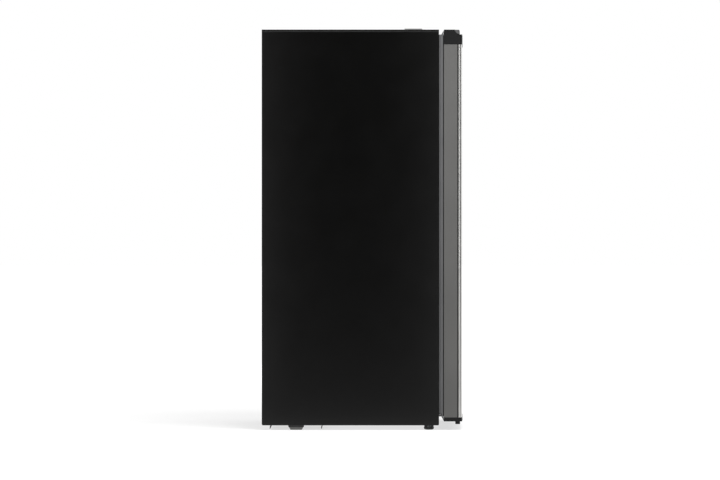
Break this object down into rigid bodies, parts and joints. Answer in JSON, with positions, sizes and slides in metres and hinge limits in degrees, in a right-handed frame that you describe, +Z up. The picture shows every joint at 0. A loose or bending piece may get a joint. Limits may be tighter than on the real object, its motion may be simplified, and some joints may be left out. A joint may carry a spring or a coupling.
{
  "type": "mini fridge",
  "caption": "Compact single-door refrigerator with a black cabinet, crowned steel door, chiller box with flap, glass shelves, crisper drawer, door racks and a rear compressor bay.",
  "frame": {"origin": "on the floor, at the middle of the footprint", "axes": "+Z up; the door faces -Y; +X is the hinge side, on the right for someone facing the door"},
  "size_m": [0.475, 0.43, 0.8568],
  "materials": {
    "cabinet_black": "fine textured black paint",
    "inner_black": "semi-matt black paint",
    "galvanised": "galvanised sheet",
    "door_steel": "vertically brushed, clear coated",
    "door_grey": "warm grey satin paint",
    "cap_black": "moulded, fine grain",
    "cover_grey": "moulded, satin",
    "liner_white": "vacuum formed, glossy",
    "trim_white": "moulded, glossy",
    "gasket_grey": "soft PVC",
    "magnet_brown": "bonded ferrite strip",
    "foam_yellow": "rigid polyurethane foam",
    "shelf_glass": "clear tempered",
    "crisper_clear": "clear polystyrene, faint blue",
    "rack_clear": "clear polystyrene",
    "chrome_rod": "plated wire",
    "evaporator_aluminium": "roll-bonded sheet",
    "compressor_black": "gloss black paint",
    "relay_plastic": "moulded",
    "rubber_black": "moulded",
    "copper": "drawn copper",
    "tray_black": "moulded",
    "hose_grey": "extruded",
    "zinc_steel": "zinc plated",
    "foot_black": "moulded",
    "pad_grey": "soft rubber",
    "knob_white": "moulded"
  },
  "bodies": {
    "cabinet": {"cabinet_shell": "cabinet_black", "base_pan": "galvanised", "back_panel": "inner_black", "inner_liner": "liner_white", "cabinet_foam": "foam_yellow", "condenser_coils": "copper", "base_rail": "inner_black", "rear_foot_blocks": "foot_black", "rear_foot_pads": "pad_grey", "foot_nuts": "zinc_steel", "hinge_plate_top": "inner_black", "hinge_cover_top": "cap_black", "hinge_bracket_bottom": "inner_black", "hinge_screws": "zinc_steel", "screw_hole_cover": "cap_black", "compressor_mount": "zinc_steel", "compressor_shell": "compressor_black", "compressor_grommets": "rubber_black", "base_fasteners": "zinc_steel", "relay_box": "relay_plastic", "cable_gland": "relay_plastic", "evaporation_tray": "tray_black", "drain_tube": "hose_grey", "suction_tube": "copper", "discharge_tube": "copper", "condenser_return_tube": "copper", "filter_drier": "copper", "line_grommet": "rubber_black", "capillary_tube": "copper", "evaporator": "evaporator_aluminium", "chiller_frame": "trim_white", "crisper_cover_trim": "trim_white", "crisper_cover_glass": "shelf_glass", "thermostat_housing": "trim_white"},
    "door": {"door_frame": "door_grey", "door_front": "door_steel", "door_cap_top": "cap_black", "door_cap_bottom": "cap_black", "door_hole_cover": "cover_grey", "hinge_bush": "trim_white", "door_foam": "foam_yellow", "door_liner": "liner_white", "door_gasket": "gasket_grey", "gasket_magnets": "magnet_brown"},
    "door_rack_lower": {"door_rack_lower": "rack_clear", "rack_rail_lower": "chrome_rod"},
    "door_rack_upper": {"door_rack_upper": "rack_clear", "rack_rail_upper": "chrome_rod"},
    "chiller_flap": {"chiller_flap": "trim_white"},
    "drip_tray": {"drip_tray": "trim_white"},
    "shelf_lower": {"shelf_lower_trim": "trim_white", "shelf_lower_glass": "shelf_glass"},
    "shelf_upper": {"shelf_upper_trim": "trim_white", "shelf_upper_glass": "shelf_glass"},
    "crisper": {"crisper_drawer": "crisper_clear"},
    "thermostat_knob": {"thermostat_knob": "knob_white"},
    "foot_left": {"levelling_foot_left": "foot_black", "levelling_stud_left": "zinc_steel"},
    "foot_right": {"levelling_foot_right": "foot_black", "levelling_stud_right": "zinc_steel"}
  },
  "joints": [
    {"name": "door_swing", "type": "hinge", "parent": "cabinet", "child": "door", "pos_m": [0.2255, -0.2009, 0.43], "axis": [0, 0, 1], "range_deg": [0, 130]},
    {"name": "chiller_flap_drop", "type": "hinge", "parent": "cabinet", "child": "chiller_flap", "pos_m": [0, -0.0423, 0.709], "axis": [1, 0, 0], "range_deg": [0, 90]},
    {"name": "drip_tray_slide", "type": "slide", "parent": "cabinet", "child": "drip_tray", "axis": [0, -1, 0], "range_m": [0, 0.09]},
    {"name": "shelf_upper_slide", "type": "slide", "parent": "cabinet", "child": "shelf_upper", "axis": [0, -1, 0], "range_m": [0, 0.068]},
    {"name": "shelf_lower_slide", "type": "slide", "parent": "cabinet", "child": "shelf_lower", "axis": [0, -1, 0], "range_m": [0, 0.068]},
    {"name": "crisper_slide", "type": "slide", "parent": "cabinet", "child": "crisper", "axis": [0, -1, 0], "range_m": [0, 0.042]},
    {"name": "thermostat_turn", "type": "hinge", "parent": "cabinet", "child": "thermostat_knob", "pos_m": [0.1745, -0.037, 0.6048], "axis": [0, -1, 0], "range_deg": [0, 300]},
    {"name": "door_rack_lower_lift", "type": "slide", "parent": "door", "child": "door_rack_lower", "axis": [0, 0, 1], "range_m": [0, 0.03]},
    {"name": "door_rack_upper_lift", "type": "slide", "parent": "door", "child": "door_rack_upper", "axis": [0, 0, 1], "range_m": [0, 0.03]},
    {"name": "foot_left_screw", "type": "slide", "parent": "cabinet", "child": "foot_left", "axis": [0, 0, -1], "range_m": [0, 0.008]},
    {"name": "foot_right_screw", "type": "slide", "parent": "cabinet", "child": "foot_right", "axis": [0, 0, -1], "range_m": [0, 0.008]}
  ]
}
